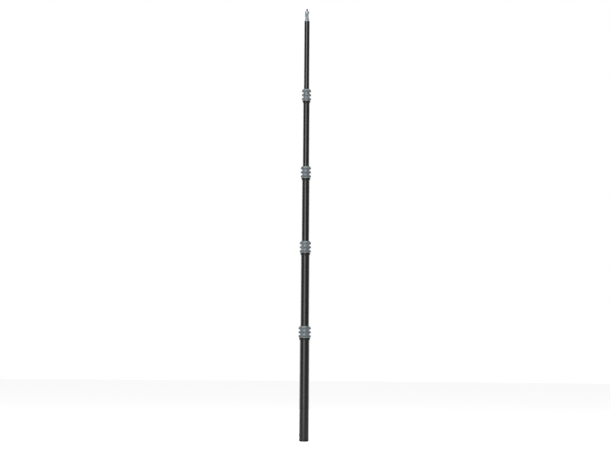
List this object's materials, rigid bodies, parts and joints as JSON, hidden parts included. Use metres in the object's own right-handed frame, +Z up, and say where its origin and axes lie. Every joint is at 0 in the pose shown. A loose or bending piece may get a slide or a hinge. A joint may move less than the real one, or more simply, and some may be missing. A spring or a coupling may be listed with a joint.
{
  "type": "telescopic boom pole",
  "caption": "Telescopic carbon-fibre boom pole with ribbed twist locks between nested sections and a threaded stud at the tip for a microphone mount.",
  "frame": {"origin": "centre of the underside of the base, on the pole's axis", "axes": "+Z up the pole from the base to the tip; -X towards the base screw; -Y towards the viewer of the front"},
  "size_m": [0.0412, 0.0412, 1.4708],
  "materials": {
    "carbon_tube": "satin clear-coated carbon fibre",
    "black_anodised": "satin black anodised",
    "grey_anodised": "blasted blue-grey anodised",
    "acetal": "natural acetal, machined",
    "felt": "dense black felt",
    "seal_rubber": "moulded rubber",
    "base_black": "satin black anodised",
    "pad_rubber": "moulded rubber",
    "screw_steel": "blackened steel",
    "tip_metal": "turned and clear anodised",
    "stud_steel": "rolled thread, zinc plated"
  },
  "bodies": {
    "section_1": {"base_pad": "pad_rubber", "base_plug": "base_black", "base_screw": "screw_steel", "lock_1_ferrule": "black_anodised", "lock_1_thread_seal": "seal_rubber", "section_1_tube": "carbon_tube"},
    "section_2": {"lock_2_ferrule": "black_anodised", "lock_2_thread_seal": "seal_rubber", "section_2_guide_bushing": "acetal", "section_2_stop_ring": "acetal", "section_2_tube": "carbon_tube"},
    "section_3": {"lock_3_ferrule": "black_anodised", "lock_3_thread_seal": "seal_rubber", "section_3_guide_bushing": "acetal", "section_3_stop_ring": "acetal", "section_3_tube": "carbon_tube"},
    "section_4": {"lock_4_ferrule": "black_anodised", "lock_4_thread_seal": "seal_rubber", "section_4_guide_bushing": "acetal", "section_4_stop_ring": "acetal", "section_4_tube": "carbon_tube"},
    "section_5": {"section_5_guide_bushing": "acetal", "section_5_stop_ring": "acetal", "section_5_tube": "carbon_tube", "tip_adapter": "tip_metal", "tip_plug": "black_anodised", "tip_stud": "stud_steel"},
    "lock_1_closer": {"lock_1_collet": "acetal"},
    "lock_1_nut": {"lock_1_grip_nut": "grey_anodised", "lock_1_wiper_ring": "felt"},
    "lock_2_closer": {"lock_2_collet": "acetal"},
    "lock_2_nut": {"lock_2_grip_nut": "grey_anodised", "lock_2_wiper_ring": "felt"},
    "lock_3_closer": {"lock_3_collet": "acetal"},
    "lock_3_nut": {"lock_3_grip_nut": "grey_anodised", "lock_3_wiper_ring": "felt"},
    "lock_4_closer": {"lock_4_collet": "acetal"},
    "lock_4_nut": {"lock_4_grip_nut": "grey_anodised", "lock_4_wiper_ring": "felt"}
  },
  "joints": [
    {"name": "section_2_slide", "type": "slide", "parent": "section_1", "child": "section_2", "axis": [0, 0, 1], "range_m": [-0.239, 0.0407]},
    {"name": "section_3_slide", "type": "slide", "parent": "section_2", "child": "section_3", "axis": [0, 0, 1], "range_m": [-0.2046, 0.1226]},
    {"name": "section_4_slide", "type": "slide", "parent": "section_3", "child": "section_4", "axis": [0, 0, 1], "range_m": [-0.2124, 0.1623]},
    {"name": "section_5_slide", "type": "slide", "parent": "section_4", "child": "section_5", "axis": [0, 0, 1], "range_m": [-0.228, 0.1942]},
    {"name": "lock_1_collet_lift", "type": "slide", "parent": "section_1", "child": "lock_1_closer", "axis": [0, 0, 1], "range_m": [0, 0.001]},
    {"name": "lock_1_twist", "type": "hinge", "parent": "lock_1_closer", "child": "lock_1_nut", "pos_m": [0, 0, 0.369], "axis": [0, 0, 1], "range_deg": [0, 120]},
    {"name": "lock_2_collet_lift", "type": "slide", "parent": "section_2", "child": "lock_2_closer", "axis": [0, 0, 1], "range_m": [0, 0.001]},
    {"name": "lock_2_twist", "type": "hinge", "parent": "lock_2_closer", "child": "lock_2_nut", "pos_m": [0, 0, 0.658], "axis": [0, 0, 1], "range_deg": [0, 120]},
    {"name": "lock_3_collet_lift", "type": "slide", "parent": "section_3", "child": "lock_3_closer", "axis": [0, 0, 1], "range_m": [0, 0.001]},
    {"name": "lock_3_twist", "type": "hinge", "parent": "lock_3_closer", "child": "lock_3_nut", "pos_m": [0, 0, 0.9126], "axis": [0, 0, 1], "range_deg": [0, 120]},
    {"name": "lock_4_collet_lift", "type": "slide", "parent": "section_4", "child": "lock_4_closer", "axis": [0, 0, 1], "range_m": [0, 0.001]},
    {"name": "lock_4_twist", "type": "hinge", "parent": "lock_4_closer", "child": "lock_4_nut", "pos_m": [0, 0, 1.175], "axis": [0, 0, 1], "range_deg": [0, 120]}
  ],
  "couplings": [
    {"joint": "lock_1_twist", "follows": "lock_1_collet_lift", "rad_per_m": 2094.4},
    {"joint": "lock_2_twist", "follows": "lock_2_collet_lift", "rad_per_m": 2094.4},
    {"joint": "lock_3_twist", "follows": "lock_3_collet_lift", "rad_per_m": 2094.4},
    {"joint": "lock_4_twist", "follows": "lock_4_collet_lift", "rad_per_m": 2094.4}
  ]
}
